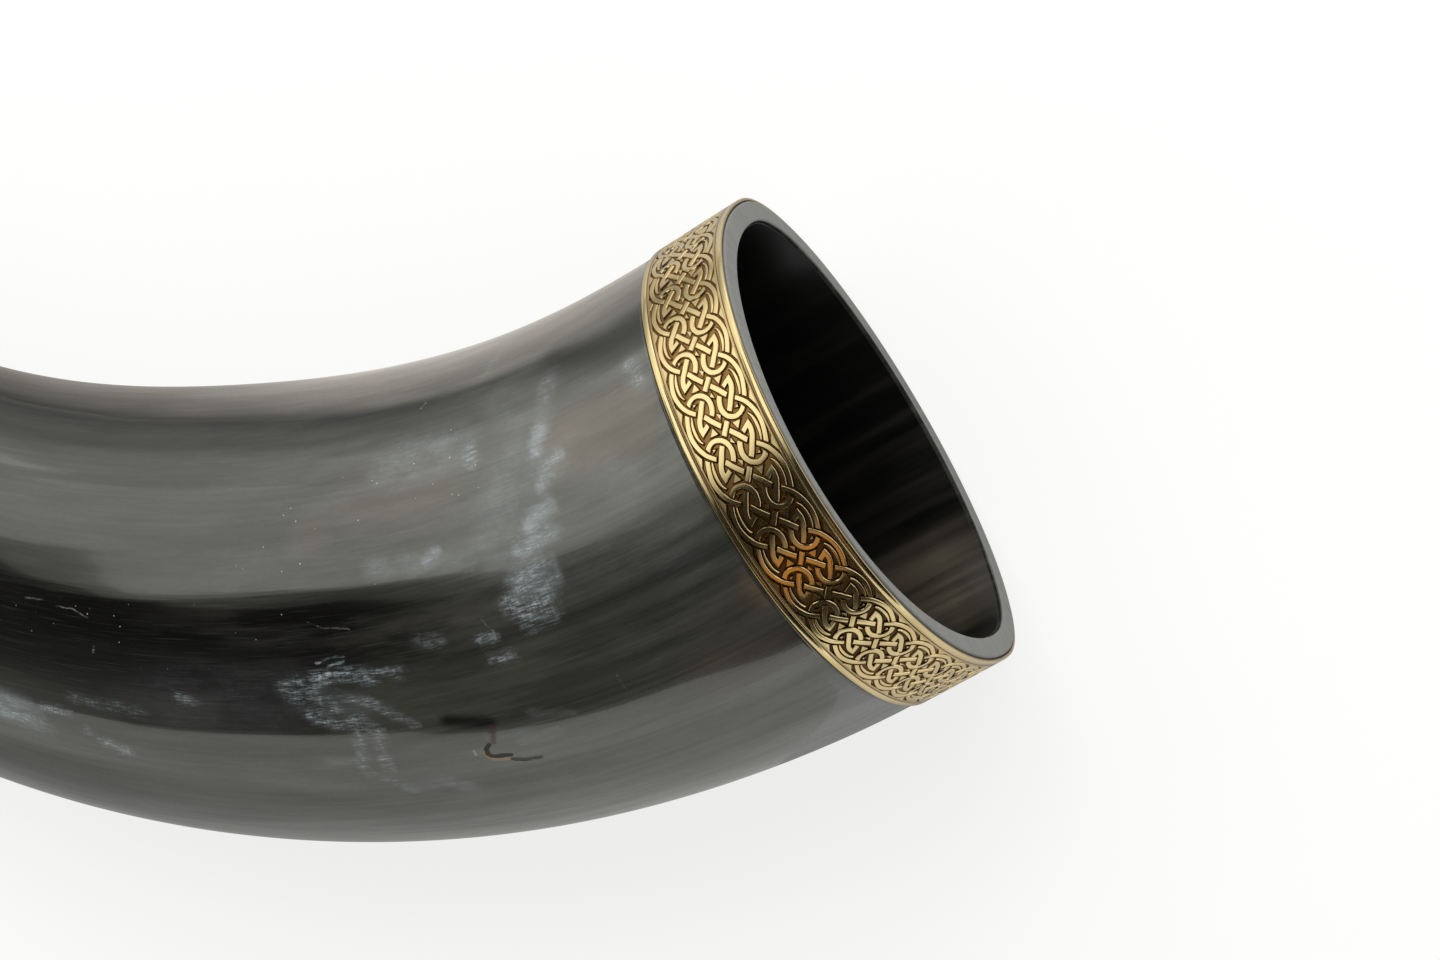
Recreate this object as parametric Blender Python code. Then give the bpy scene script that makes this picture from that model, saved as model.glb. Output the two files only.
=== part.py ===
"""Drinking horn lying on its flatter side: a natural horn with an etched brass band round its mouth.

The mouth faces +X, the tip curls round towards +Y, and the horn rests on Z = 0.
Lengths along the horn run from the mouth, along the centreline. All sizes are in metres.
"""
import math

import bmesh
import bpy
from mathutils import Vector

# Outside of the horn.
HORN_LENGTH = 0.385
MOUTH_HALF_WIDTH = 0.044
MOUTH_RISE = 0.0575         # centreline to the top of the mouth
MOUTH_DROP = 0.0357         # centreline to the bottom of the mouth, the flatter side
BEND_RADIUS = 0.190
TAPER_SPREAD = 0.16         # share of the taper that is even along the length; the rest gathers near the tip
TIP_HALF_WIDTH = 0.0049
TIP_ROUNDING = 0.007        # length of the rounded end

# Hollow of the horn.
WALL = 0.0041               # at the mouth; it thickens towards the tip
CAVITY_DEPTH = 0.250
CAVITY_FULLNESS = 3.0       # a higher power keeps the hollow wide for longer

# Brass band on its seat round the mouth.
BAND_WIDTH = 0.016
BAND_THICKNESS = 0.0006
BAND_PROUD = 0.0005         # how far the brass stands out of the horn below it
BAND_SETBACK = 0.0003       # from the rim to the edge of the brass
BEDDING_THICKNESS = 0.0003
SEAM_WIDTH = 0.0012         # bead of solder between the ends of the strip
SEAM_ANGLE = math.radians(-56.25)

# Sealing coat inside the hollow.
LINING_THICKNESS = 0.0006
LINING_SETBACK = 0.002

CLEARANCE = 0.0003          # between any two pieces
LEVEL_RUN = 0.030           # length over which the horn comes down from the band to the ground

# Fineness of the surfaces.
SIDES = 48
BODY_STEPS = 24
TIP_STEPS = 4
CAVITY_STEPS = 15
LAST_CAP = 0.93             # how near the closed ends the last ring lies

# Sizes that follow.
SEAT_DEPTH = CLEARANCE + BEDDING_THICKNESS + CLEARANCE + BAND_THICKNESS - BAND_PROUD
SEAT_LENGTH = BAND_SETBACK + BAND_WIDTH + CLEARANCE
BEDDING_INSIDE = CLEARANCE - SEAT_DEPTH
BAND_INSIDE = BEDDING_INSIDE + BEDDING_THICKNESS + CLEARANCE
TIP_START = HORN_LENGTH - TIP_ROUNDING


def taper_share(along):
    """Share of the whole taper that lies between the mouth and this place, 0 to 1."""
    reach = min(along / TIP_START, 1.0)
    return TAPER_SPREAD * reach + (1.0 - TAPER_SPREAD) * reach ** 2


def outside_sizes(along):
    """Half width, rise and drop of the horn's outside. The section turns round towards the tip."""
    half_width = MOUTH_HALF_WIDTH - (MOUTH_HALF_WIDTH - TIP_HALF_WIDTH) * taper_share(along)
    egg = (1.0 - min(along / TIP_START, 1.0)) ** 1.5
    rise = half_width * (1.0 + (MOUTH_RISE / MOUTH_HALF_WIDTH - 1.0) * egg)
    drop = half_width * (1.0 + (MOUTH_DROP / MOUTH_HALF_WIDTH - 1.0) * egg)
    return half_width, rise, drop


def centreline(along):
    """Point on the centreline and the level direction across it, towards the inside of the bend."""
    _, _, drop = outside_sizes(along)
    past_seat = max(along - SEAT_LENGTH, 0.0)
    turn = past_seat / BEND_RADIUS
    settle = min(past_seat / LEVEL_RUN, 1.0)
    ground = BAND_PROUD * (1.0 - settle * settle * (3.0 - 2.0 * settle))
    straight = min(along, SEAT_LENGTH)
    point = Vector((
        -straight - BEND_RADIUS * math.sin(turn),
        BEND_RADIUS * (1.0 - math.cos(turn)),
        drop + ground,
    ))
    return point, Vector((math.sin(turn), math.cos(turn), 0.0))


def section(along, sizes):
    """Egg-shaped ring of points across the horn, of a given half width, rise and drop."""
    centre, across = centreline(along)
    half_width, rise, drop = sizes
    ring = []
    for side in range(SIDES):
        angle = 2.0 * math.pi * side / SIDES
        height = rise if math.sin(angle) > 0.0 else drop
        ring.append(centre + across * half_width * math.cos(angle) + Vector((0, 0, height * math.sin(angle))))
    return ring


def outside_ring(along, grow=0.0):
    return section(along, [size + grow for size in outside_sizes(along)])


def tip_ring(angle):
    """Ring on the rounded end, from its start at 0 to its point at a quarter turn."""
    along = TIP_START + TIP_ROUNDING * math.sin(angle)
    return section(along, [size * math.cos(angle) for size in outside_sizes(along)])


def hollow_rings(shrink=0.0):
    """Rings down the hollow from the lining's edge to its round end, with the surface brought in by shrink."""
    depth = CAVITY_DEPTH - shrink
    rings = []
    for step in range(CAVITY_STEPS + 1):
        reach = LAST_CAP * step / CAVITY_STEPS
        along = LINING_SETBACK + (depth - LINING_SETBACK) * (1.0 - (1.0 - reach) ** 2)
        close = math.sqrt(1.0 - (along / depth) ** CAVITY_FULLNESS)
        rings.append(section(along, [(size - WALL - shrink) * close for size in outside_sizes(along)]))
    return rings


def loft(rings, wrap=False):
    """Closed mesh through rings of equally many points: capped at both ends, or joined end to end."""
    mesh = bmesh.new()
    loops = [[mesh.verts.new(point) for point in ring] for ring in rings]
    pairs = list(zip(loops, loops[1:]))
    if wrap:
        pairs.append((loops[-1], loops[0]))
    else:
        mesh.faces.new(loops[0])
        mesh.faces.new(loops[-1])
    for near, far in pairs:
        for corner in range(len(near)):
            after = (corner + 1) % len(near)
            mesh.faces.new((near[corner], near[after], far[after], far[corner]))
    bmesh.ops.recalc_face_normals(mesh, faces=mesh.faces)
    return mesh


def hoop_sections(start, end, inside, thickness):
    """Oblong cross-sections of a hoop on the horn's outside, one for each of the horn's sides."""
    edges = [outside_ring(along, grow) for along, grow in (
        (start, inside),
        (start, inside + thickness),
        (end, inside + thickness),
        (end, inside),
    )]
    return [list(corners) for corners in zip(*edges)]


def seam_cuts(sections, width):
    """Two oblongs across the side of the hoop that holds the seam, this far apart."""
    side = math.floor(SEAM_ANGLE / (2.0 * math.pi) * SIDES)
    first, second = sections[side], sections[side + 1]
    half_share = 0.5 * width / (second[0] - first[0]).length
    cuts = []
    for share in (0.5 - half_share, 0.5 + half_share):
        cuts.append([a.lerp(b, share) for a, b in zip(first, second)])
    return cuts


def horn_sheath():
    rings = list(reversed(hollow_rings()))
    rings.append(outside_ring(0.0, -WALL))
    rings.append(outside_ring(0.0, -SEAT_DEPTH))
    rings.append(outside_ring(SEAT_LENGTH, -SEAT_DEPTH))
    for step in range(BODY_STEPS):
        rings.append(outside_ring(SEAT_LENGTH + (TIP_START - SEAT_LENGTH) * step / BODY_STEPS))
    for step in range(TIP_STEPS + 1):
        rings.append(tip_ring(LAST_CAP * 0.5 * math.pi * step / TIP_STEPS))
    return loft(rings)


def band_sections():
    return hoop_sections(BAND_SETBACK, BAND_SETBACK + BAND_WIDTH, BAND_INSIDE, BAND_THICKNESS)


def rim_band():
    sections = band_sections()
    first_end, second_end = seam_cuts(sections, SEAM_WIDTH + 2.0 * CLEARANCE)
    after_seam = math.floor(SEAM_ANGLE / (2.0 * math.pi) * SIDES) + 1
    round_hoop = [sections[(after_seam + side) % SIDES] for side in range(SIDES)]
    return loft([second_end] + round_hoop + [first_end])


def band_seam_solder():
    return loft(seam_cuts(band_sections(), SEAM_WIDTH))


def band_bedding():
    return loft(hoop_sections(BAND_SETBACK, BAND_SETBACK + BAND_WIDTH, BEDDING_INSIDE, BEDDING_THICKNESS), True)


def inner_lining():
    bonded = hollow_rings(CLEARANCE)
    open_side = hollow_rings(CLEARANCE + LINING_THICKNESS)
    return loft(list(reversed(bonded)) + open_side)


def finish(name, colour, roughness, metallic):
    material = bpy.data.materials.new(name)
    material.use_nodes = True
    shader = material.node_tree.nodes["Principled BSDF"]
    shader.inputs["Base Color"].default_value = (*colour, 1.0)
    shader.inputs["Roughness"].default_value = roughness
    shader.inputs["Metallic"].default_value = metallic
    return material


def add_piece(name, mesh, material, collection, parent):
    data = bpy.data.meshes.new(name)
    mesh.to_mesh(data)
    mesh.free()
    data.shade_smooth()
    data.set_sharp_from_angle(angle=math.radians(35))
    data.materials.append(material)
    piece = bpy.data.objects.new(name, data)
    piece.parent = parent
    collection.objects.link(piece)
    return piece


def main():
    for leftover in list(bpy.data.objects):
        bpy.data.objects.remove(leftover, do_unlink=True)
    collection = bpy.data.collections.new("drinking_horn")
    bpy.context.scene.collection.children.link(collection)
    place = bpy.data.objects.new("horn_place", None)
    collection.objects.link(place)

    polished_horn = finish("polished_horn", (0.035, 0.034, 0.032), 0.28, 0.0)
    etched_brass = finish("etched_brass", (0.60, 0.43, 0.19), 0.30, 1.0)
    silver_solder = finish("silver_solder", (0.55, 0.52, 0.46), 0.40, 1.0)
    dark_cement = finish("dark_cement", (0.012, 0.011, 0.010), 0.60, 0.0)
    clear_lacquer = finish("lacquered_hollow", (0.010, 0.009, 0.008), 0.15, 0.0)

    pieces = [
        add_piece("horn_sheath", horn_sheath(), polished_horn, collection, place),
        add_piece("rim_band", rim_band(), etched_brass, collection, place),
        add_piece("band_seam_solder", band_seam_solder(), silver_solder, collection, place),
        add_piece("band_bedding", band_bedding(), dark_cement, collection, place),
        add_piece("inner_lining", inner_lining(), clear_lacquer, collection, place),
    ]

    # The origin is on the ground, under the middle of the whole horn.
    corners = [vertex.co for piece in pieces for vertex in piece.data.vertices]
    low = Vector([min(corner[axis] for corner in corners) for axis in range(3)])
    high = Vector([max(corner[axis] for corner in corners) for axis in range(3)])
    place.location = (-0.5 * (low.x + high.x), -0.5 * (low.y + high.y), -low.z)


main()
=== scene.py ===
import math
from functools import partial

import bmesh
import bpy
import numpy as np
from mathutils import Matrix, Vector


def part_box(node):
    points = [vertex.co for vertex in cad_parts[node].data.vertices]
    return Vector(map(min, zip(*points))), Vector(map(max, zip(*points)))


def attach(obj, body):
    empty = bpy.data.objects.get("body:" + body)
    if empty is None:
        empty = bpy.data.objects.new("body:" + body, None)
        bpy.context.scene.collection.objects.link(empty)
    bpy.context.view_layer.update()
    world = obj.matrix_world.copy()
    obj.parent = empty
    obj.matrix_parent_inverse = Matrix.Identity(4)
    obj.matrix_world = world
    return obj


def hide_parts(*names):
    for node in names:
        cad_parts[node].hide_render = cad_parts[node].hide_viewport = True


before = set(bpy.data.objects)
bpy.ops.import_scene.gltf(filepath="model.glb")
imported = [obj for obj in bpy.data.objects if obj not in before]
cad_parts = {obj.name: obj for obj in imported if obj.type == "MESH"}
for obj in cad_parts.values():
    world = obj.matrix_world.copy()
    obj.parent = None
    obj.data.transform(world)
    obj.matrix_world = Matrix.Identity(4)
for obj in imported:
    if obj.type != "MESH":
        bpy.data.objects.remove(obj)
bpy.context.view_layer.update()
mm = 0.001


# small helpers

def linear(hexColour):
    shares = [int(hexColour[i:i + 2], 16) / 255 for i in (1, 3, 5)]
    return tuple(s / 12.92 if s <= 0.04045 else ((s + 0.055) / 1.055) ** 2.4 for s in shares) + (1.0,)


modeNames = {  # the setting that tells apart a node's modes
    "Math": "operation", "VectorMath": "operation", "Mix": "data_type", "MapRange": "interpolation_type",
    "GeometryNodeSampleCurve": "mode",
}


def addNode(tree, kind, inputs=(), mode=None, **settings):
    # inputs go by name, or in a list in the order the node shows them; a node given as an input is linked
    node = tree.nodes.new(kind if kind.startswith(("Geometry", "NodeGroup")) else "ShaderNode" + kind)
    if mode:
        settings[modeNames[kind]] = mode
    for name, value in settings.items():
        setattr(node, name, value)
    if isinstance(inputs, dict):
        pairs = [(node.inputs[name], value) for name, value in inputs.items()]
    else:
        pairs = zip([socket for socket in node.inputs if socket.enabled], inputs)
    for socket, value in pairs:
        if isinstance(value, bpy.types.Node):
            value = next(output for output in value.outputs if output.enabled)
        if isinstance(value, bpy.types.NodeSocket):
            tree.links.new(value, socket)
        else:
            socket.default_value = linear(value) if isinstance(value, str) else value
    return node


def newMaterial(name):
    material = bpy.data.materials.new(name)
    material.use_nodes = True
    material.node_tree.nodes.clear()
    return material, partial(addNode, material.node_tree)


def perMm(along, across):  # Mapping scale that makes one noise cell this many millimetres
    return (1 / (along * mm), 1 / (across * mm), 1 / (across * mm))


def smooth(x):
    x = np.clip(x, 0, 1)
    return x * x * (3 - 2 * x)


def outwards(mesh):
    shell = bmesh.new()
    shell.from_mesh(mesh)
    bmesh.ops.recalc_face_normals(shell, faces=shell.faces)
    shell.to_mesh(mesh)
    shell.free()


def linkMesh(name, points, faces, material):
    mesh = bpy.data.meshes.new(name)
    mesh.from_pydata([tuple(p) for p in points], [], faces)
    mesh.materials.append(material)
    thing = bpy.data.objects.new(name, mesh)
    bpy.context.scene.collection.objects.link(thing)
    return thing


def makePiece(name, points, faces, material, sharpAngle=None):
    piece = linkMesh(name, points, faces, material)
    outwards(piece.data)
    piece.data.shade_smooth()
    if sharpAngle:
        piece.data.set_sharp_from_angle(angle=math.radians(sharpAngle))
    return piece


def loftFaces(rings, sides, closed=False):  # quads between rings of equal count; closed joins last to first
    faces = []
    for ring in range(rings if closed else rings - 1):
        low, high = ring * sides, (ring + 1) % rings * sides
        for side in range(sides):
            turn = (side + 1) % sides
            faces.append((low + side, low + turn, high + turn, high + side))
    return faces


def endFaces(rings, sides):  # one flat face on the first ring and one on the last
    return [tuple(range(sides)), tuple(range((rings - 1) * sides, rings * sides))]


def fanFaces(rings, sides):  # closes the first and last ring on the two points that follow all the rings
    first, last = (rings - 1) * sides, rings * sides
    faces = []
    for side in range(sides):
        turn = (side + 1) % sides
        faces += [(last, turn, side), (last + 1, first + side, first + turn)]
    return faces


def setAttribute(mesh, name, kind, values):
    layer = mesh.attributes.new(name, kind, "POINT")
    field = "vector" if kind == "FLOAT_VECTOR" else "value"
    layer.data.foreach_set(field, np.asarray(values, np.float32).ravel())


# shape of the horn, as the frame has it

horn = {
    "mouthHalfWidth": 44.0 * mm,
    "mouthRise": 57.5 * mm,
    "mouthDrop": 35.7 * mm,
    "bendRadius": 190.0 * mm,
    "tipStart": 378.0 * mm,
    "tipRounding": 7.0 * mm,
    "tipTurn": 21.9,  # degrees of the rounding left out, so that it carries on the taper
    "tipHalfWidth": 4.9 * mm,
    "tipSteps": 12,
    "evenTaper": 0.16,
    "eggFade": 1.5,  # how soon the egg-shaped mouth turns round
    "wall": 4.1 * mm,
    "thinning": 1.6 * mm,  # the wall is scraped thinner round the top of the mouth
    "thinAngle": 102.0,
    "thinReach": 58.0,
    "thinDepth": 70.0 * mm,
    "hollowDepth": 250.0 * mm,
    "hollowFullness": 3.0,
    "hollowRings": 51,
    "seatLength": 16.6 * mm,
    "bandProud": 0.5 * mm,
    "levelRun": 30.0 * mm,
    "rimRounding": 0.25 * mm,
    "rimSteps": 4,
    "rimRings": 7,  # across the flat of the rim
    "innerRounding": 0.4 * mm,
    "innerSteps": 6,
    "sandedSteps": 4,  # this many of them are still matt
    "sides": 240,
    "nearStep": 1.0 * mm,  # ring spacing where the photograph looks
    "nearLength": 165.0 * mm,
    "farStep": 4.0 * mm,
    "rippleHeight": 0.12 * mm,
    "rippleStart": 20.0 * mm,  # the ripples grow over this length past the band
    "rippleEnd": 60.0 * mm,  # and die away over this length before the tip
    "innerFullness": 1.4 * mm,  # the inside of the bend swells a little here
    "fullestAt": 118.0 * mm,
    "fullReach": 66.0 * mm,
}
seat = {
    "depth": 0.35 * mm,  # how far the horn is cut down under the band
    "end": 16.35 * mm,
    "step": 0.05 * mm,  # length of its shoulder
    "clear": 0.2 * mm,  # from the shoulder to the nearest ring
    "rings": 6,
    "frontRing": 0.6 * mm,
    "sandedFrom": 0.45 * mm,
    "bandStart": 0.34 * mm,
    "bandEnd": 16.05 * mm,
}
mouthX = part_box("horn_sheath")[1].x
mouthY = (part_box("rim_band")[0].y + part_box("rim_band")[1].y) / 2
angles = np.linspace(0, 2 * math.pi, horn["sides"], endpoint=False)


def hornSizes(along):  # half width, rise and drop of the outside at this length from the mouth
    reach = min(along / horn["tipStart"], 1.0)
    share = horn["evenTaper"] * reach + (1 - horn["evenTaper"]) * reach ** 2
    half = horn["mouthHalfWidth"] - (horn["mouthHalfWidth"] - horn["tipHalfWidth"]) * share
    egg = (1 - reach) ** horn["eggFade"]
    rise = half * (1 + (horn["mouthRise"] / horn["mouthHalfWidth"] - 1) * egg)
    drop = half * (1 + (horn["mouthDrop"] / horn["mouthHalfWidth"] - 1) * egg)
    return half, rise, drop


def hornRing(along, grow=0.0, share=1.0, turns=angles):  # one section; grow moves its outline out
    half, rise, drop = hornSizes(along)
    past = max(along - horn["seatLength"], 0)
    bend = past / horn["bendRadius"]
    ground = horn["bandProud"] * (1 - float(smooth(past / horn["levelRun"])))
    centreX = mouthX - min(along, horn["seatLength"]) - horn["bendRadius"] * math.sin(bend)
    centreY = mouthY + horn["bendRadius"] * (1 - math.cos(bend))
    across = (half + grow) * share * np.cos(turns)
    height = np.where(np.sin(turns) > 0, rise, drop)
    upward = (height + grow) * share * np.sin(turns)
    return np.stack([centreX + math.sin(bend) * across, centreY + math.cos(bend) * across,
                     drop + ground + upward], -1)


def hollowShare(along):
    return math.sqrt(max(1 - (along / horn["hollowDepth"]) ** horn["hollowFullness"], 0))


def wallAt(along):  # thickness of the wall round the section
    away = np.abs(np.degrees(angles) - horn["thinAngle"]) / horn["thinReach"]
    return horn["wall"] - horn["thinning"] * smooth(1 - away) * smooth(1 - along / horn["thinDepth"])


def ripples(along, turns):  # the slow unevenness that hand sanding leaves, from waves of unlike lengths
    fade = (smooth((along - horn["seatLength"]) / horn["rippleStart"])
            * smooth((horn["tipStart"] - along) / horn["rippleEnd"]))
    place = along / mm
    waves = (0.45 * np.sin(3 * turns + place / 23 + 1.3 * np.sin(place / 41))
             + 0.30 * np.sin(7 * turns - place / 31 + 2.1)
             + 0.25 * np.sin(13 * turns + place / 57 + 0.7)
             + 0.40 * np.sin(place / 9.5 + 1.5 * np.sin(2 * turns + 0.4)) * np.cos(turns * 2 - 0.8))
    inBend = np.clip(np.cos(turns), 0, 1) ** 2
    swell = smooth(1 - abs(along - horn["fullestAt"]) / horn["fullReach"]) * inBend
    return horn["rippleHeight"] * fade * waves + horn["innerFullness"] * swell


# camera, at the photograph's angle

view = {
    "lens": 100.0,
    "sensor": 36.0,
    "nearest": 0.01,
    "distance": 672.0 * mm,
    "turn": 0.5315,  # roll that makes the mouth look up to the right, in radians
    "tilt": 0.2734,  # lean from straight above towards the mouth
    "mouthRight": 26.6 * mm,  # the mouth's centre from the picture's middle
    "mouthAbove": 9.2 * mm,
    "mouthHeight": 36.2 * mm,
}


def addCamera():
    turn, tilt = view["turn"], view["tilt"]
    right = Vector((math.cos(tilt) * math.cos(turn), -math.sin(turn), -math.sin(tilt) * math.cos(turn)))
    up = Vector((math.cos(tilt) * math.sin(turn), math.cos(turn), -math.sin(tilt) * math.sin(turn)))
    back = right.cross(up)
    mouth = Vector((mouthX, mouthY, view["mouthHeight"]))
    place = mouth + back * view["distance"] - right * view["mouthRight"] - up * view["mouthAbove"]
    data = bpy.data.cameras.new("photoCamera")
    data.lens = view["lens"]
    data.sensor_width = view["sensor"]
    data.clip_start = view["nearest"]
    camera = bpy.data.objects.new("photoCamera", data)
    camera.matrix_world = Matrix.Translation(place) @ Matrix((right, up, back)).transposed().to_4x4()
    bpy.context.scene.collection.objects.link(camera)
    bpy.context.scene.camera = camera


addCamera()
print("camera set")


# floor and light

studio = {
    "floorHalf": 6.0,
    "floorColour": "#fcfcfb",
    "floorGlow": 0.78,  # with the lamp's light on it the floor then reads as white
    "floorDiffuse": 0.30,
    "mirroredGlow": 0.20,  # the floor as polished surfaces show it, with a fuller shadow
    "mirroredDiffuse": 0.60,
    "contactReach": 0.10,  # how far from the horn that shadow reaches
    "contactSamples": 8,
    "skyColour": "#ffffff",
    "skyLight": 0.45,
    "softboxSize": (1.5, 1.1),
    "softboxPlace": (0.35, 0.75, 0.95),
    "softboxPower": 13.0,
}


def seenDirectly(add):  # 1 for rays that see a surface straight, in a mirror or through glass
    path = add("LightPath").outputs
    first = add("Math", [path["Is Camera Ray"], path["Is Glossy Ray"]], "MAXIMUM")
    return add("Math", [first, path["Is Transmission Ray"]], "MAXIMUM")


def paleFloor():  # matt paper sweep: white to the eye, with a faint shadow
    material, add = newMaterial("paleMattPaper")
    colour = studio["floorColour"]
    shadow = add("AmbientOcclusion", {"Color": colour, "Distance": studio["contactReach"]},
                 samples=studio["contactSamples"])
    looks = []
    for look, shade in (("floor", colour), ("mirrored", shadow)):
        paper = add("Mix", [studio[look + "Diffuse"], "#000000", shade], "RGBA")
        shaded = add("BsdfDiffuse", {"Color": paper})
        light = add("Emission", {"Color": shade, "Strength": studio[look + "Glow"]})
        looks.append(add("AddShader", [shaded, light]))
    mirrored = add("LightPath").outputs["Is Glossy Ray"]
    white = add("MixShader", [mirrored, *looks])
    plain = add("BsdfDiffuse", {"Color": colour})
    both = add("MixShader", [seenDirectly(add), plain, white])
    add("OutputMaterial", {"Surface": both})
    material.cycles.emission_sampling = "NONE"
    return material


def addStage(name, corners, material):
    sheet = linkMesh(name, corners, [tuple(range(len(corners)))], material)
    return sheet


def addFloor():
    half = studio["floorHalf"]
    addStage("floor", [(-half, -half, 0), (half, -half, 0), (half, half, 0), (-half, half, 0)], paleFloor())


cards = {  # cards that only reflections see: height, corners, then brightness at places along their axes
    "darkCard": (1.1, [
        (1.5, -14.0), (1.5, 4.0), (-2.85, 4.0), (-2.85, -0.65), (-2.3, -0.88), (-1.93, -1.1), (-1.86, -1.6),
        (-2.2, -2.4), (-2.4, -3.2), (-2.35, -5.0), (-2.6, -14.0)], {
            "X": [(-2.4, 0.22), (-1.7, 0.16), (-1.3, 0.13), (-0.9, 0.07), (-0.65, 0.036)],
            "Y": [(-2.0, 0.4), (-0.8, 1.0)]}),
    "paleCard": (1.12, [(-2.9, -14.0), (-1.5, -14.0), (-1.5, 4.0), (-2.9, 4.0)], {"X": [(-2.9, 0.75)]}),
    "leftFlap": ("upright", [(-2.9, -14.0, 0.0), (-2.9, 4.0, 0.0), (-2.9, 4.0, 1.12), (-2.9, -14.0, 1.12)],
                 {"Z": [(0.0, 0.75)]}),
    # painted shade: a sheet that reflections see instead of the floor, darker towards the horn and brighter
    # towards +X
    "farStrip": (0.0015, [(-3.0, 0.022), (3.0, 0.022), (3.0, 6.0), (-3.0, 6.0)], {
        "Y": [(0.022, 0.35), (0.031, 0.25), (0.046, 0.33), (0.068, 0.44), (0.13, 0.52), (0.20, 0.72),
              (0.30, 0.92), (0.60, 1.0)],
        "X": [(0.062, 1.0), (0.08, 1.45)]}),
    # painted shade: a sheet that reflections see instead of the floor round the horn's edge, with the
    # floor's shade painted on
    "edgeStrip": (0.0018, [(-0.3, -0.06), (0.083, -0.06), (0.078, -0.03), (0.078, 0.022), (-0.3, 0.022)], {
        "Y": [(-0.06, 0.78), (-0.04, 0.68), (0.0, 0.66), (0.012, 0.56), (0.022, 0.34)],
        "X": [(-0.02, 0.55), (0.0, 0.62), (0.03, 1.0), (0.05, 0.92), (0.072, 0.78)]}),
    # painted shade: a sheet that reflections see instead of the floor on the near side, darker towards the
    # horn
    "nearStrip": (0.0015, [
        (0.055, -0.04), (0.055, -0.22), (0.045, -0.27), (0.02, -0.34), (-0.03, -0.48), (-0.12, -0.8),
        (3.0, -0.8), (3.0, -6.0), (-6.0, -6.0), (-6.0, -0.04)], {
            "Y": [(-2.0, 0.75), (-0.80, 0.71), (-0.50, 0.62), (-0.37, 0.53), (-0.30, 0.48), (-0.22, 0.47),
                  (-0.17, 0.38), (-0.12, 0.30)]}),
    "softEdge": (0.251, [
        (-0.05, 0.030), (-0.064, 0.052), (-0.080, 0.064), (-0.109, 0.076), (-0.112, 0.110), (-0.102, 0.160),
        (-0.095, 0.220), (-0.103, 0.280), (-0.158, 0.36), (-0.40, 0.90), (-1.75, 4.0), (0.0, 4.0),
        (0.0, 0.5)], {"Y": [(0.03, 0.6)]}),
    "dimEdge": (0.252, [
        (0.022, -0.06), (0.018, -0.092), (0.004, -0.090), (-0.012, -0.066), (-0.040, -0.030),
        (-0.054, -0.010), (-0.064, 0.016), (-0.080, 0.034), (-0.100, 0.055), (-0.05, 0.15),
        (0.022, 0.15)], {
            "X": [(-0.08, 0.20), (-0.02, 0.24), (0.01, 0.32)]}),
    "softWindow": (0.25, [
        (0.10, -0.078), (0.03, -0.074), (0.00, -0.055), (-0.028, -0.018), (-0.05, 0.040), (-0.062, 0.060),
        (-0.080, 0.074), (-0.099, 0.083), (-0.098, 0.110), (-0.088, 0.160), (-0.080, 0.220),
        (-0.088, 0.280), (-0.14, 0.36), (-0.36, 0.90), (-1.6, 4.0), (0.6, 4.0), (0.10, 0.5)], {
            "Y": [(-0.078, 0.12), (-0.052, 0.5), (-0.022, 0.95), (0.03, 1.25)],
            "X": [(0.03, 1.0), (0.08, 0.88)]}),
}
cardTints = {
    "bright": "#fdfef9",
    "dark": "#e0dbd3",
    "edge": "#fff9ef",
    "brightFrom": (0.03, 0.15),  # brightness over which the dark tint turns to the bright one
    "warmPatch": "#cb8b3c",  # something tan that the band mirrors
    "warmPlace": (-0.209, -1.20),
    "warmReach": (0.09, 0.75),
    "warmFull": 0.35,  # share of its reach over which it is at its warmest
    "warmSlant": -0.222,  # sideways for each unit away from the horn
}


def cardLook(add, name):  # brightness and colour of a card
    place = add("SeparateXYZ", [add("TexCoord").outputs["Object"]]).outputs
    level = 1.0
    for axis, steps in cards[name][2].items():
        part = steps[0][1]
        for (start, before), (end, after) in zip(steps, steps[1:]):
            rise = add("MapRange", [place[axis], start, end, 0.0, after - before])
            part = add("Math", [part, rise], "ADD")
        level = add("Math", [level, part], "MULTIPLY")
    pale = add("MapRange", [level, *cardTints["brightFrom"]])
    bright = cardTints["edge" if name == "edgeStrip" else "bright"]
    colour = add("Mix", [pale, cardTints["dark"], bright], "RGBA")
    if name != "darkCard":
        return level, colour
    warm = 1.0
    across = add("Math", [place["Y"], cardTints["warmSlant"], place["X"]], "MULTIPLY_ADD")
    for run, middle, reach in zip((across, place["Y"]), cardTints["warmPlace"], cardTints["warmReach"]):
        away = add("Math", [run, middle], "SUBTRACT")
        away = add("Math", [away], "ABSOLUTE")
        part = add("MapRange", [away, cardTints["warmFull"] * reach, reach, 1.0, 0.0], "SMOOTHSTEP")
        warm = add("Math", [part, warm], "MULTIPLY")
    colour = add("Mix", [warm, colour, cardTints["warmPatch"]], "RGBA")
    return add("Math", [level, warm], "MAXIMUM"), colour


def addCards():
    for name, (height, corners, _) in cards.items():
        material, add = newMaterial(name)
        level, colour = cardLook(add, name)
        light = add("Emission", {"Color": colour, "Strength": level})
        add("OutputMaterial", {"Surface": light})
        material.cycles.emission_sampling = "NONE"
        card = addStage(name, [(*corner, height)[:3] for corner in corners], material)
        for kind in ("camera", "diffuse", "shadow", "transmission"):
            setattr(card, "visible_" + kind, False)


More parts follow.
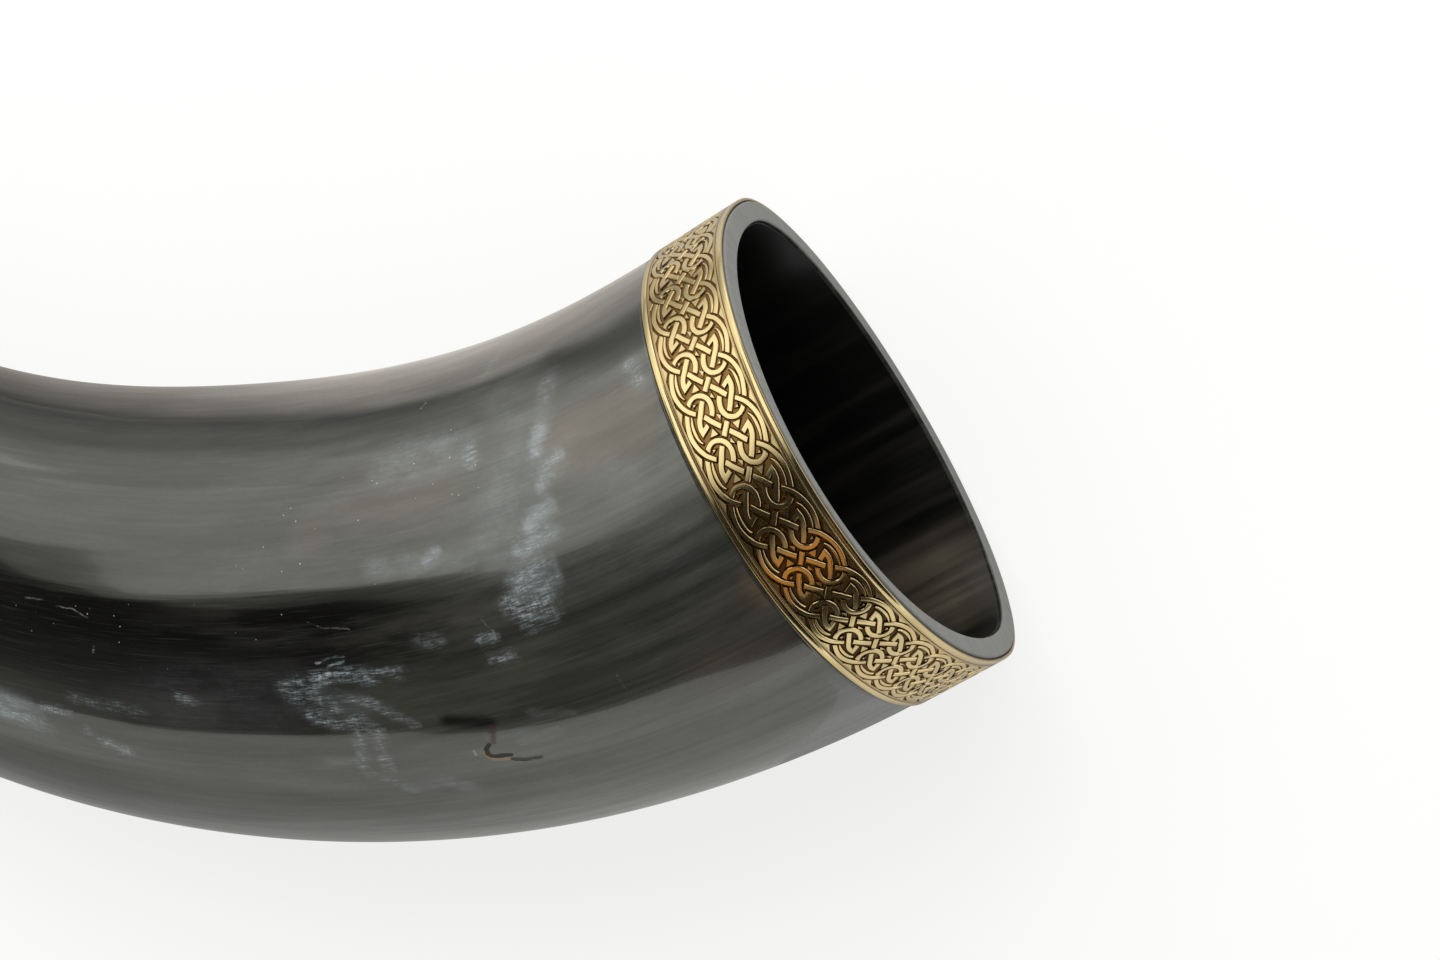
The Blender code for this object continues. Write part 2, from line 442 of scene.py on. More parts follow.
def addLight():
    world = bpy.data.worlds.new("studio")
    bpy.context.scene.world = world
    world.use_nodes = True
    world.cycles.sampling_method = "NONE"  # lit by the rays that reach it, so each kind keeps its own level
    world.node_tree.nodes.clear()
    add = partial(addNode, world.node_tree)
    level = add("MapRange", {"Value": seenDirectly(add), "To Min": studio["skyLight"], "To Max": 1.0})
    sky = add("Background", {"Color": studio["skyColour"], "Strength": level})
    add("OutputWorld", {"Surface": sky})
    lamp = bpy.data.lights.new("softbox", "AREA")
    lamp.shape = "RECTANGLE"
    lamp.size, lamp.size_y = studio["softboxSize"]
    lamp.energy = studio["softboxPower"]
    softbox = bpy.data.objects.new("softbox", lamp)
    softbox.location = studio["softboxPlace"]
    softbox.rotation_euler = (-Vector(studio["softboxPlace"])).to_track_quat("-Z", "Y").to_euler()
    softbox.visible_glossy = False  # the pale surroundings make the reflections
    bpy.context.scene.collection.objects.link(softbox)
    bpy.context.scene.view_settings.view_transform = "Standard"


addFloor()
addCards()
addLight()
print("studio lit")


# horn

hornRound = 45.0 * mm  # one radian round the horn, in the straightened horn that its patterns are drawn on
# marks: radius in mm, strength, and the places they run through (mm from the mouth, degrees round it)
wear = {
    "scuffed": [
        (3.6, 0.4, [(49, 80.5), (51.5, 84.5), (48, 85.5)]), (2.4, 0.8, [(49, 90), (53, 90), (54.5, 88)]),
        (1.7, 0.7, [(48.5, 92.5), (53, 93)]), (1.6, 0.7, [(57, 50), (56.5, 54)]),
        (1.2, 0.3, [(44, 76), (51, 75.5)]), (1.6, 1.0, [(91.5, 95.5), (86.5, 95), (82, 96.5)]),
        (2.2, 0.6, [(97, 97.5), (95, 100.5), (90, 102.5)]), (1.5, 0.6, [(95, 96), (92.5, 98)]),
        (1.5, 0.9, [(93.5, 105), (89.5, 107), (86, 107), (84, 109.5)]),
        (1.1, 0.55, [(87, 110), (87.5, 115.5), (88.5, 120.5)]),
        (1.1, 0.6, [(83.5, 110), (84.5, 116), (84.5, 122)]),
        (1.0, 0.4, [(87.5, 122.5), (84, 126), (83, 129)]), (1.1, 1.0, [(79.5, 96), (77, 96.5)]),
        (1.5, 0.3, [(72, 90.5), (69, 91.5)]), (1.1, 0.8, [(62, 93.5), (59.5, 93.5)]),
        (1.0, 0.9, [(61, 98.5), (57.5, 98.5)]), (1.4, 1.0, [(131, 116), (127.5, 118)]),
        (1.1, 0.9, [(134, 113.5)]), (1.0, 0.7, [(141.5, 109), (137, 109)]),
        (1.4, 0.35, [(136, 104), (124, 105)]), (1.1, 0.7, [(117, 100), (114, 101)]),
        (3.5, 0.35, [(150, 112), (143, 115)]), (1.2, 0.3, [(55, 29), (52, 18)]),
        (2.0, 0.2, [(39, 39), (40, 45)]), (1.6, 0.4, [(20.5, 49), (19.5, 54)]),
        (1.0, 0.75, [(88, 100.3), (83, 103), (80, 106.5), (77.5, 109.5)]),
    ],
    "hazed": [
        (2.0, 1.25, [(41.5, 53), (43.5, 58)]), (1.9, 1.15, [(38.5, 61.5), (42, 63.5), (43.5, 66)]),
        (1.9, 1.25, [(43, 71), (46.5, 72), (47.5, 73.5)]), (1.5, 0.85, [(43, 76.5), (46.5, 77), (51, 77)]),
        (3.4, 0.65, [(49, 80.5), (51.5, 84.5), (48, 85.5)]), (1.1, 0.7, [(45, 82), (45.5, 86.5)]),
        (5.5, 0.36, [(50, 62), (55, 75)]), (5.0, 0.2, [(36, 62), (28, 73)]),
        (7.0, 0.08, [(42, 84), (24, 88)]), (2.4, 0.4, [(78, 72.5), (70, 73.5), (60, 76)]),
        (5.0, 0.2, [(50, 41), (45.5, 46)]), (4.5, 0.38, [(47, 58), (46, 64), (40, 62)]),
        (9.0, 0.09, [(118, 101), (102, 100)]), (6.0, 0.42, [(60, 49), (74, 48.5)]),
        (3.0, 0.3, [(38.5, 38), (40, 44), (41, 51)]), (3.0, 0.25, [(20.5, 49), (19.5, 54)]),
        (1.1, 1.0, [(65.5, 72), (68, 74)]), (2.0, 0.35, [(82, 128.5), (77, 127.5), (74, 131)]),
        (1.0, 0.35, [(93.5, 117.5), (89.5, 118)]), (1.0, 0.35, [(66.5, 116.5), (62, 117.5), (56, 119)]),
        (1.0, 0.35, [(62.5, 119.5), (56.5, 120.5)]), (1.0, 0.3, [(58.5, 113), (53, 115.5)]),
        (2.4, 0.2, [(91, 99), (84, 104)]), (4.5, 0.9, [(154, 110.5), (146, 112.5)]),
    ],
    "pale": [
        (9.0, 0.9, [(84, 105), (57, 103.5)]), (3.5, 0.35, [(128, 103), (112, 104)]),
        (4.0, 0.45, [(150, 104), (130, 106)]),
    ],
    "dusty": [
        (9.0, 0.9, [(150, 84), (126, 83)]), (20.0, 1.0, [(95, 66), (60, 52)]),
        (16.0, 0.7, [(120, 86), (85, 84)]), (10.0, 0.5, [(60, 100), (45, 98)]),
    ],
    "tinted": [
        (9.0, 0.35, [(80, 55), (66, 58)]), (8.0, 0.75, [(36, 60), (24, 61)]),
        (7.0, 0.35, [(30, 120), (21, 121)]), (6.0, 0.3, [(90, 62)]),
    ],
}
# a near-black split with a painted highlight on its lip, a darker dull patch, a dark streak, a stain and
# scratches: radius in mm, share of it that is full, colour, strength, depth, places
flaws = {
    "darkStreak": (2.3, 0.1, "#010101", 1.0, 0.0, [(71.8, 110.2), (70.2, 110.9), (66, 112.5)]),
    # a darker patch without wax near the band, dimming the reflection there
    "darkDullPatch": (6.5, 0.0, "#0d0d0c", 0.9, 0.0, [(17, 41), (26, 40.5), (38, 35)]),
    "stain": (0.8, 0.1, "#38211c", 0.95, 0.0, [(65.7, 114.0), (66.2, 116.5), (66.7, 118.1)]),
    "paleTips": (0.3, 0.4, "#8d8a7e", 1.0, 0.0, [(70.2, 119.3), (70.2, 120.6)]),
    # painted highlight along the split's lower lip
    "splitLipHighlight": (0.45, 0.4, "#8e6f4e", 1.0, 0.0,
                [(68.7, 120.4), (68.7, 121.7), (68.0, 123.0), (66.5, 123.7), (65.0, 123.7)]),
    "split": (0.5, 0.6, "#0a0504", 1.0, 1.0,
              [(67.5, 118.4), (68.2, 119.7), (68.4, 121.0), (68.0, 121.9), (65.2, 122.6)]),
    "closedEnd": (0.6, 0.25, "#241812", 1.0, 0.6, [(65.2, 123.9), (63.4, 125.0), (61.2, 125.2)]),
    "hook": (0.36, 0.1, "#a9b4b8", 0.7, 0.0, [(91, 92), (88.5, 91), (86, 91)]),
    "secondHook": (0.4, 0.1, "#a9b4b8", 0.85, 0.0, [(89, 93), (86, 92)]),
    "longScratch": (0.22, 0.1, "#b9b8ae", 0.4, 0.0, [(91.5, 82.5), (88.5, 84), (84, 85)]),
    "slantScratch": (0.18, 0.1, "#b9b8ae", 0.4, 0.0, [(60.5, 89), (59, 92.5)]),
    "lowScratch": (0.18, 0.1, "#b9b8ae", 0.35, 0.0, [(43.5, 110), (43.5, 115)]),
    "tick": (0.25, 0.2, "#c9c8c0", 0.5, 0.0, [(69, 33.5), (68, 32)]),
    "leftScratch": (0.24, 0.1, "#b9b8ae", 0.5, 0.0, [(140, 80.5), (137, 80.5), (133.7, 82)]),
    "leftTick": (0.3, 0.1, "#b9b8ae", 0.55, 0.0, [(146.3, 80), (143, 79.4)]),
    "darkTick": (0.3, 0.2, "#c9c8c0", 0.6, 0.0, [(132.2, 90.6), (132, 89.2)]),
}
hornLook = {
    "noises": {  # size of a cell along the fibres and across them in mm, then the detail
        "fibres": (45, 0.7, 4), "bands": (90, 5, 4), "swells": (40, 9, 1), "patches": (30, 12, 3),
        "clouds": (24, 5, 4), "wisps": (6, 0.9, 3), "dashes": (1.4, 0.28, 2), "combs": (0.38, 2.5, 1),
        "clumps": (5, 3, 3), "grains": (0.9, 0.3, 3), "hairs": (11, 0.22, 2)},
    "noiseRoughness": 0.6,
    "shares": {  # a noise, the range of it that counts, and what the ends of that range become
        "streak": ("fibres", 0.35, 0.68, 0.86, 1.16), "rough": ("fibres", 0.3, 0.7, 0.06, 0.13),
        "smoke": ("clouds", 0.46, 0.74, 0.0, 0.32), "hair": ("hairs", 0.58, 0.72, 0.0, 0.07),
        "wisp": ("wisps", 0.36, 0.62, 0.15, 1.15), "clump": ("clumps", 0.36, 0.62, 0.5, 1.15),
        "dash": ("dashes", 0.40, 0.66), "comb": ("combs", 0.35, 0.65, 0.4, 1.0),
        "uneven": ("grains", 0.3, 0.7, 0.72, 1.0)},
    "lightRange": (0.32, 0.72),  # of the bands
    "far": ("#050505", "#151412"),  # dark and light fibres
    "near": ("#292a26", "#40403a"),  # the same towards the mouth
    "nearFade": (40 * mm, 88 * mm, 1.0, 0.0),
    "pale": "#34352f",
    "smoke": "#65635d",
    "smokeFade": (60 * mm, 130 * mm, 1.0, 0.1),
    "tint": "#6b5642",
    "hair": "#8f928d",
    "milk": "#a9b4b8",
    "scuffGain": (1.2, 0.1),  # times the dashes, plus
    "hazeGain": (0.26, 0.27),
    "dust": "#c9c8c0",
    "dustSpacing": 1.3 * mm,
    "dustFrom": 0.4,  # cells with a lower chance stay clean
    "dustLargest": 0.13,  # as a share of the spacing
    "dustStrength": 0.7,
    "ragged": 0.6 * mm,  # how far the edges of flaws wander
    "raggedCell": 1.2 * mm,
    "waxlessFrom": 0.9,  # a flaw this strong takes the wax off (the split, dark marks and the painted highlight), a weaker one is a scratch
    "splitDepth": 0.2 * mm,
    "swellHeight": 0.5 * mm,
    "fibreHeight": 0.05 * mm,
    "nearRoughness": 0.07,  # added towards the mouth
    "dullRoughness": 0.5,
    "waxMix": 0.45,  # share of the fibres, the rest being clouds
    "waxRange": (0.38, 0.60, 0.7, 1.15),
    "gloss": "#fbfcf2",
    "sanded": ("#787975", "#979891"),
    "sandedGrit": (1.5, 1.5),  # mm along and across
}


def markStrength(marks, along, turns):  # how strongly a set of marks shows at each place
    roundMm = hornRound / mm
    strength = np.zeros_like(turns)
    place = np.stack([np.broadcast_to(along / mm, turns.shape), turns * roundMm], -1)
    for radius, most, route in marks:
        stops = [np.array([a, math.radians(t) * roundMm]) for a, t in route]
        for start, end in zip(stops, stops[1:] or stops):
            run = end - start
            share = np.clip((place - start) @ run / max(run @ run, 1e-9), 0, 1)
            away = np.linalg.norm(place - start - share[..., None] * run, axis=-1)
            soft = smooth(1.25 - away / radius)  # full over a quarter of the radius, then it fades
            strength = np.maximum(strength, most * soft)
    return strength


def grainPlace(along, turns):  # place on the straightened horn
    return np.stack(np.broadcast_arrays(along, hornRound * np.cos(turns), hornRound * np.sin(turns)), -1)


def polishedHorn():  # waxed cattle horn: nearly black keratin, fibres along its length, a soft wet gloss
    material, add = newMaterial("polishedHornKeratin")
    look = hornLook
    grain = add("Attribute", attribute_name="grain").outputs["Vector"]
    along = add("SeparateXYZ", [grain]).outputs["X"]
    noises = {}
    for name, (length, width, detail) in look["noises"].items():
        space = add("Mapping", {"Vector": grain, "Scale": perMm(length, width)})
        noises[name] = add("TexNoise", {
            "Vector": space, "Scale": 1.0, "Detail": detail, "Roughness": look["noiseRoughness"]})
    marks = {name: add("Attribute", attribute_name=name).outputs["Fac"] for name in wear}
    shares = {name: add("MapRange", [noises[source], *limits])
              for name, (source, *limits) in look["shares"].items()}
    light = add("MapRange", [noises["bands"], *look["lightRange"]], "SMOOTHSTEP")
    far = add("Mix", [light, *look["far"]], "RGBA")
    near = add("Mix", [light, *look["near"]], "RGBA")
    nearMouth = add("MapRange", [along, *look["nearFade"]], "SMOOTHSTEP")
    body = add("Mix", [nearMouth, far, near], "RGBA")
    body = add("Mix", [marks["pale"], body, look["pale"]], "RGBA")
    body = add("VectorMath", [body, shares["streak"]], "SCALE")
    # smoky streaks deeper in the horn, towards the mouth
    reach = add("MapRange", [along, *look["smokeFade"]])
    smoke = add("Math", [shares["smoke"], reach], "MULTIPLY")
    colour = add("Mix", [smoke, body, look["smoke"]], "RGBA")
    tint = add("Math", [marks["tinted"], noises["patches"]], "MULTIPLY")
    colour = add("Mix", [tint, colour, look["tint"]], "RGBA")
    # milky scuffs: wisps of fine dashes along the fibres, combed across, and a soft haze
    fine = add("Math", [shares["dash"], shares["comb"]], "MULTIPLY")
    grit = add("Math", [fine, *look["scuffGain"]], "MULTIPLY_ADD")
    grit = add("Math", [grit, shares["wisp"]], "MULTIPLY")
    fine = add("Math", [grit, marks["scuffed"]], "MULTIPLY")
    haze = add("Math", [grit, *look["hazeGain"]], "MULTIPLY_ADD")
    haze = add("Math", [haze, marks["hazed"]], "MULTIPLY")
    milky = add("Math", [fine, haze], "ADD")
    milky = add("Math", [milky, shares["clump"]], "MULTIPLY", use_clamp=True)
    colour = add("Mix", [shares["hair"], colour, look["hair"]], "RGBA")
    colour = add("Mix", [milky, colour, look["milk"]], "RGBA")
    # specks of dust, some larger than others
    cells = add("TexVoronoi", {"Vector": grain, "Scale": 1 / look["dustSpacing"]}).outputs
    chance = add("SeparateColor", [cells["Color"]])
    limit = add("Math", [chance, marks["dusty"]], "MULTIPLY")
    limit = add("MapRange", [limit, look["dustFrom"], 1.0, 0.0, look["dustLargest"]])
    speck = add("Math", [cells["Distance"], limit], "LESS_THAN")
    speck = add("Math", [speck, look["dustStrength"]], "MULTIPLY")
    colour = add("Mix", [speck, colour, look["dust"]], "RGBA")
    # the split, the painted highlight on its lip, the other marks and the scratches, one by one
    wander = add("TexNoise", {"Vector": grain, "Scale": 1 / look["raggedCell"], "Detail": 3.0})
    wander = add("VectorMath", [wander.outputs["Color"], (0.5, 0.5, 0.5)], "SUBTRACT")
    ragged = add("VectorMath", [wander, (look["ragged"],) * 3, grain], "MULTIPLY_ADD")
    depth = bare = 0.0
    for radius, full, shade, most, deep, route in flaws.values():
        stops = [Vector(grainPlace(a * mm, math.radians(t))) for a, t in route]
        nearest = None
        for start, end in zip(stops, stops[1:]):
            run = end - start
            fromStart = add("VectorMath", [ragged, start], "SUBTRACT")
            share = add("VectorMath", [fromStart, run / run.length_squared], "DOT_PRODUCT")
            share = add("Clamp", {"Value": share})
            foot = add("VectorMath", [run, share], "SCALE")
            away = add("VectorMath", [fromStart, foot], "DISTANCE")
            if nearest is not None:
                away = add("Math", [nearest, away], "MINIMUM")
            nearest = away
        mark = add("MapRange", [nearest, radius * mm, full * radius * mm, 0.0, most], "SMOOTHSTEP")
        if most < look["waxlessFrom"]:  # scratches come and go
            mark = add("Math", [mark, grit], "MULTIPLY")
        else:  # no wax is left on the strong marks
            bare = add("Math", [mark, bare], "MAXIMUM")
        colour = add("Mix", [mark, colour, shade], "RGBA")
        sunk = add("Math", [mark, deep], "MULTIPLY")
        depth = add("Math", [sunk, depth], "MAXIMUM")
    dull = add("Math", [milky, depth], "MAXIMUM")
    rough = add("Math", [nearMouth, look["nearRoughness"], shares["rough"]], "MULTIPLY_ADD")
    rough = add("Mix", [dull, rough, look["dullRoughness"]])
    swell = add("Bump", {"Height": noises["swells"], "Strength": 0.35, "Distance": look["swellHeight"]})
    bump = add("Bump", {
        "Height": noises["fibres"], "Strength": 0.15, "Distance": look["fibreHeight"], "Normal": swell})
    split = add("Bump", {"Height": depth, "Strength": 0.6, "Distance": -look["splitDepth"], "Normal": bump})
    # the wax lies unevenly
    waxed = add("Mix", [look["waxMix"], noises["clouds"], noises["fibres"]])
    waxed = add("MapRange", [waxed, *look["waxRange"]])
    waxed = add("Math", [waxed, shares["uneven"]], "MULTIPLY")
    waxed = add("Mix", [bare, waxed, 0.0])
    shader = add("BsdfPrincipled", {
        "Base Color": colour, "Roughness": rough, "IOR": 1.56, "Specular IOR Level": 0.75,
        "Specular Tint": look["gloss"], "Normal": split, "Coat Weight": waxed, "Coat Roughness": 0.04,
        "Coat IOR": 1.5, "Coat Normal": swell})
    add("OutputMaterial", {"Surface": shader})
    return material


def sandedHorn():  # the sawn end of the horn, rubbed flat on fine paper: grey, matt, tiny scratches
    material, add = newMaterial("sandedHornEnd")
    grain = add("Attribute", attribute_name="grain").outputs["Vector"]
    space = add("Mapping", {"Vector": grain, "Scale": perMm(*hornLook["sandedGrit"])})
    grit = add("TexNoise", {"Vector": space, "Scale": 1.0, "Detail": 5.0})
    colour = add("Mix", [grit, *hornLook["sanded"]], "RGBA")
    bump = add("Bump", {"Height": grit, "Strength": 0.3, "Distance": 0.05 * mm})
    shader = add("BsdfPrincipled", {"Base Color": colour, "Roughness": 0.62, "IOR": 1.56, "Normal": bump})
    add("OutputMaterial", {"Surface": shader})
    return material


def hornRows():  # (along, grow, share, sanded) from the tip round the rim to the end of the hollow
    rows = []
    turned = math.radians(horn["tipTurn"])
    for step in range(1, horn["tipSteps"]):
        swing = math.radians(90) - (math.radians(90) - turned) * step / horn["tipSteps"]
        past = (math.sin(swing) - math.sin(turned)) / (1 - math.sin(turned))
        share = math.cos(swing) / math.cos(turned)
        rows.append((horn["tipStart"] + horn["tipRounding"] * past, 0, share, False))
    far = np.arange(horn["tipStart"], horn["nearLength"], -horn["farStep"])
    near = np.arange(horn["nearLength"], seat["end"] + seat["clear"], -horn["nearStep"])
    rows += [(along, 0, 1, False) for along in (*far, *near, seat["end"])]
    under = np.linspace(seat["end"] - seat["step"], seat["frontRing"], seat["rings"])
    rows += [(along, -seat["depth"], 1, False) for along in under]
    rows.append((seat["sandedFrom"], -seat["depth"], 1, True))
    for step in range(horn["rimSteps"] + 1):
        swing = math.radians(90 * step / horn["rimSteps"])
        rows.append((horn["rimRounding"] * (1 - math.sin(swing)),
                     -seat["depth"] - horn["rimRounding"] * (1 - math.cos(swing)), 1, True))
    outer = -seat["depth"] - horn["rimRounding"]
    inner = horn["innerRounding"] - wallAt(0)
    flat = np.linspace(0, 1, horn["rimRings"] + 1)[1:-1]
    rows += [(0, outer + (inner - outer) * reach, 1, True) for reach in flat]
    for step in range(horn["innerSteps"] + 1):
        swing = math.radians(90 * step / horn["innerSteps"])
        along = horn["innerRounding"] * (1 - math.cos(swing))
        rows.append((along, inner - horn["innerRounding"] * math.sin(swing), hollowShare(along),
                     step < horn["sandedSteps"]))
    for reach in np.linspace(0, 1, horn["hollowRings"] + 1)[1:-1]:
        length = horn["hollowDepth"] - horn["innerRounding"]
        along = horn["innerRounding"] + length * (1 - (1 - reach) ** 2)
        rows.append((along, -wallAt(along), hollowShare(along), False))
    return rows


def buildHorn():
    rows = hornRows()
    sides = horn["sides"]
    points = []
    marks = {name: [] for name in wear}
    for along, grow, share, _ in rows:
        outside = np.ndim(grow) == 0 and grow == 0
        lift = ripples(along, angles) if outside else 0
        points.append(hornRing(along, grow + lift, share))
        for name, rings in marks.items():
            rings.append(markStrength(wear[name], along, angles) * outside)
    sandedRows = [row[3] for row in rows]
    sandedFaces = [low and high for low, high in zip(sandedRows, sandedRows[1:]) for _ in range(sides)]
    sandedFaces += [False] * 2 * sides
    ends = [horn["tipStart"] + horn["tipRounding"], horn["hollowDepth"]]
    points += [hornRing(along, 0, 0)[:1] for along in ends]
    faces = loftFaces(len(rows), sides) + fanFaces(len(rows), sides)
    piece = makePiece("polishedHornSheath", np.vstack(points), faces, polishedHorn())
    piece.data.materials.append(sandedHorn())
    piece.data.polygons.foreach_set("material_index", np.array(sandedFaces, np.int32))
    grain = [grainPlace(row[0], angles) for row in rows] + [[(along, 0, 0)] for along in ends]
    setAttribute(piece.data, "grain", "FLOAT_VECTOR", np.vstack(grain))
    for name, rings in marks.items():
        setAttribute(piece.data, name, "FLOAT", np.concatenate(rings + [[0, 0]]))
    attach(piece, "root")
    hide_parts("horn_sheath")
    print("horn", len(piece.data.polygons), "faces")


buildHorn()


# brass band with its interlaced strands

knot = {
    "repeats": 36,
    "drawnPitch": 8.0,  # millimetres from one crossing bar to the next, as the points below are drawn
    "firstBar": 4.66 * mm,  # from the top of the mouth round to the first bar
    "sway": 0.025,  # the pitch is a little longer on the far side of the mouth than on the near one
    "swayStart": -0.28,
    "halfStrand": 0.355,
    "halfArc": 0.31,
    "halfRidge": 0.17,
    "ridgeEnds": 0.25,  # width of the ridge's ends, as a share of its middle
    "gap": 0.33,  # from a strand's edge to the foot of the one that passes under it
    "slope": 0.11,  # width of the etched sides
    "relief": 0.32,
    "foot": -0.28,  # height where the etched sides end
    "skirt": -0.325,  # height of the skirt round that, just under the ground
    "skirtReach": 0.2,
    "crown": 0.012,
    "spacing": 0.5,  # millimetres from one section of a strand to the next
    # half of one strand in millimetres, from the middle of its bar; y runs towards the rim
    "arm": [(0, 0), (-0.95, 0.78), (-2.45, 1.97), (-3.85, 2.82), (-4.95, 3.48), (-6.0, 3.76),
            (-6.85, 3.68)],
    "tail": [(-6.85, 3.68), (-6.25, 2.62), (-5.6, 1.72), (-4.7, 0.98), (-3.35, 0.63), (-2.25, 0.80),
             (-1.35, 1.42), (-0.88, 2.40), (-0.98, 3.32), (-1.55, 4.12), (-2.5, 4.80), (-4.4, 5.52),
             (-6.3, 5.85), (-8.2, 5.62), (-10.0, 4.90), (-11.25, 3.85), (-12.4, 2.62),
             (-14.1, 1.45), (-16.0, 0)],
    "crescent": [(-8.4, 4.35), (-7.6, 4.78), (-6.3, 4.95), (-4.8, 4.82), (-3.5, 4.42)],
    "fillers": [[(-3.85, 6.5), (-2.30, 5.68), (-0.37, 6.5)], [(-2.4, 3.45), (-2.1, 2.95), (-1.95, 3.4)],
                [(-8.05, 2.80), (-8.2, 1.50), (-6.96, 1.92)], [(-6.3, 0.16), (-5.75, -0.2), (-5.2, 0.40)]],
}
# offset from the edge, height, how brightly it is rubbed
strandEdge = [(0.36, knot["skirt"], 0.0), (0.16, knot["foot"], 0.05), (0.06, -0.06, 0.95), (0.0, 0.0, 1.0)]
fillerEdge = [(0.30, knot["skirt"], 0.0), (0.13, -0.27, 0.05), (0.0, -0.01, 0.9)]
strandProfile = [(-1, *edge) for edge in strandEdge] + [(0, 0.0, knot["crown"], 1.0)]
strandProfile += [(1, *edge) for edge in reversed(strandEdge)]  # with the side that each point is on


def smoothLine(points, perSpan=16):  # a curve through every point
    ends = np.array(points, float)
    ends = np.vstack([2 * ends[0] - ends[1], ends, 2 * ends[-1] - ends[-2]])
    u = np.linspace(0, 1, perSpan, endpoint=False)[:, None]
    spans = []
    for a, b, c, d in zip(ends[:-3], ends[1:-2], ends[2:-1], ends[3:]):
        curved = (2 * a - 5 * b + 4 * c - d) * u ** 2 + (3 * b - a - 3 * c + d) * u ** 3
        spans.append((2 * b + (c - a) * u + curved) / 2)
    return np.vstack(spans + [ends[-2:-1]])


def lengthsOf(line):
    return np.concatenate([[0], np.cumsum(np.linalg.norm(np.diff(line, axis=0), axis=1))])


def onLine(line, place):  # point and direction at a length; past the ends it runs straight on
    lengths = lengthsOf(line)
    ways = np.gradient(line, lengths, axis=0)
    place = np.asarray(place, float)
    inside = np.clip(place, 0, lengths[-1])
    point = np.stack([np.interp(inside, lengths, line[:, i]) for i in (0, 1)], -1)
    way = np.stack([np.interp(inside, lengths, ways[:, i]) for i in (0, 1)], -1)
    way /= np.linalg.norm(way, axis=-1)[..., None]
    return point + way * (place - inside)[..., None], way


def crossings(line, others, clear=0.4):  # where others cross this line, in order: (length, their direction)
    lengths = lengthsOf(line)
    run = np.diff(line, axis=0)[:, None]
    found = []
    for other in others:
        step = np.diff(other, axis=0)[None]
        apart = other[None, :-1] - line[:-1, None]
        across = run[..., 0] * step[..., 1] - run[..., 1] * step[..., 0]
        across[across == 0] = 1e-12
        u = (apart[..., 0] * step[..., 1] - apart[..., 1] * step[..., 0]) / across
        v = (apart[..., 0] * run[..., 1] - apart[..., 1] * run[..., 0]) / across
        for i, j in zip(*np.nonzero((u >= 0) & (u < 1) & (v >= 0) & (v < 1))):
            place = lengths[i] + u[i, j] * np.linalg.norm(run[i, 0])
            if clear < place < lengths[-1] - clear:
                found.append((place, step[0, j] / np.linalg.norm(step[0, j])))
    return sorted(found, key=lambda hit: hit[0])


def cutAt(line, crossing, overHalf, side):  # where a strand stops beside the one over it: (length, slant)
    place, over = crossing
    way = onLine(line, place)[1]
    normal = np.array([-way[1], way[0]])
    return place + side * (overHalf + knot["gap"]) / abs(over @ normal), (over @ way) / (over @ normal)


def strandRows(line, start, end, half, taper=None, ends=(True, True)):
    # sections of a strand between two cuts: (length, slant) each; an end slopes down to its cut
    length = abs(end[0] - start[0])
    count = max(int(length / knot["spacing"]), 3)
    slope = knot["slope"] / length
    shares = np.linspace(slope if ends[0] else 0, 1 - (slope if ends[1] else 0), count + 1)
    stations = [(share, 0.0, math.inf) for share in shares]  # share of the length, past the end, highest
    if ends[0]:
        stations = [(0, -knot["skirtReach"], knot["skirt"]), (0, 0, knot["foot"])] + stations
    if ends[1]:
        stations = stations + [(1, 0, knot["foot"]), (1, knot["skirtReach"], knot["skirt"])]
    rows = []
    for share, past, highest in stations:
        width = half * (taper(share) if taper else 1)
        row = []
        for side, offset, height, rubbed in strandProfile:
            o = side * (width + offset)
            place = (start[0] + o * start[1]) * (1 - share) + (end[0] + o * end[1]) * share + past
            point, way = onLine(line, place)
            x, y = point + o * np.array([-way[1], way[0]])
            row.append((x, y, min(height, highest), rubbed if highest > 0 else 0.0))
        rows.append(row)
    return rows


def strandBody(rows):  # closed body from its sections
    sides = len(rows[0])
    points = [point for row in rows for point in row]
    return points, loftFaces(len(rows), sides) + endFaces(len(rows), sides)


def fillerBody(outline):  # small raised patch between the strands
    middle = np.mean(outline, axis=0)
    inside = np.mean([abs(np.cross(np.subtract(b, a), middle - a)) / np.linalg.norm(np.subtract(b, a))
                      for a, b in zip(outline, outline[1:] + outline[:1])])
    points = []
    for offset, height, rubbed in fillerEdge:
        points += [(*(middle + (np.array(corner) - middle) * (1 + offset / inside)), height, rubbed)
                   for corner in outline]
    rings, sides = len(fillerEdge), len(outline)
    return points, loftFaces(rings, sides) + endFaces(rings, sides)


def ridgeTaper(share):
    return knot["ridgeEnds"] + (1 - knot["ridgeEnds"]) * math.sin(math.pi * share)


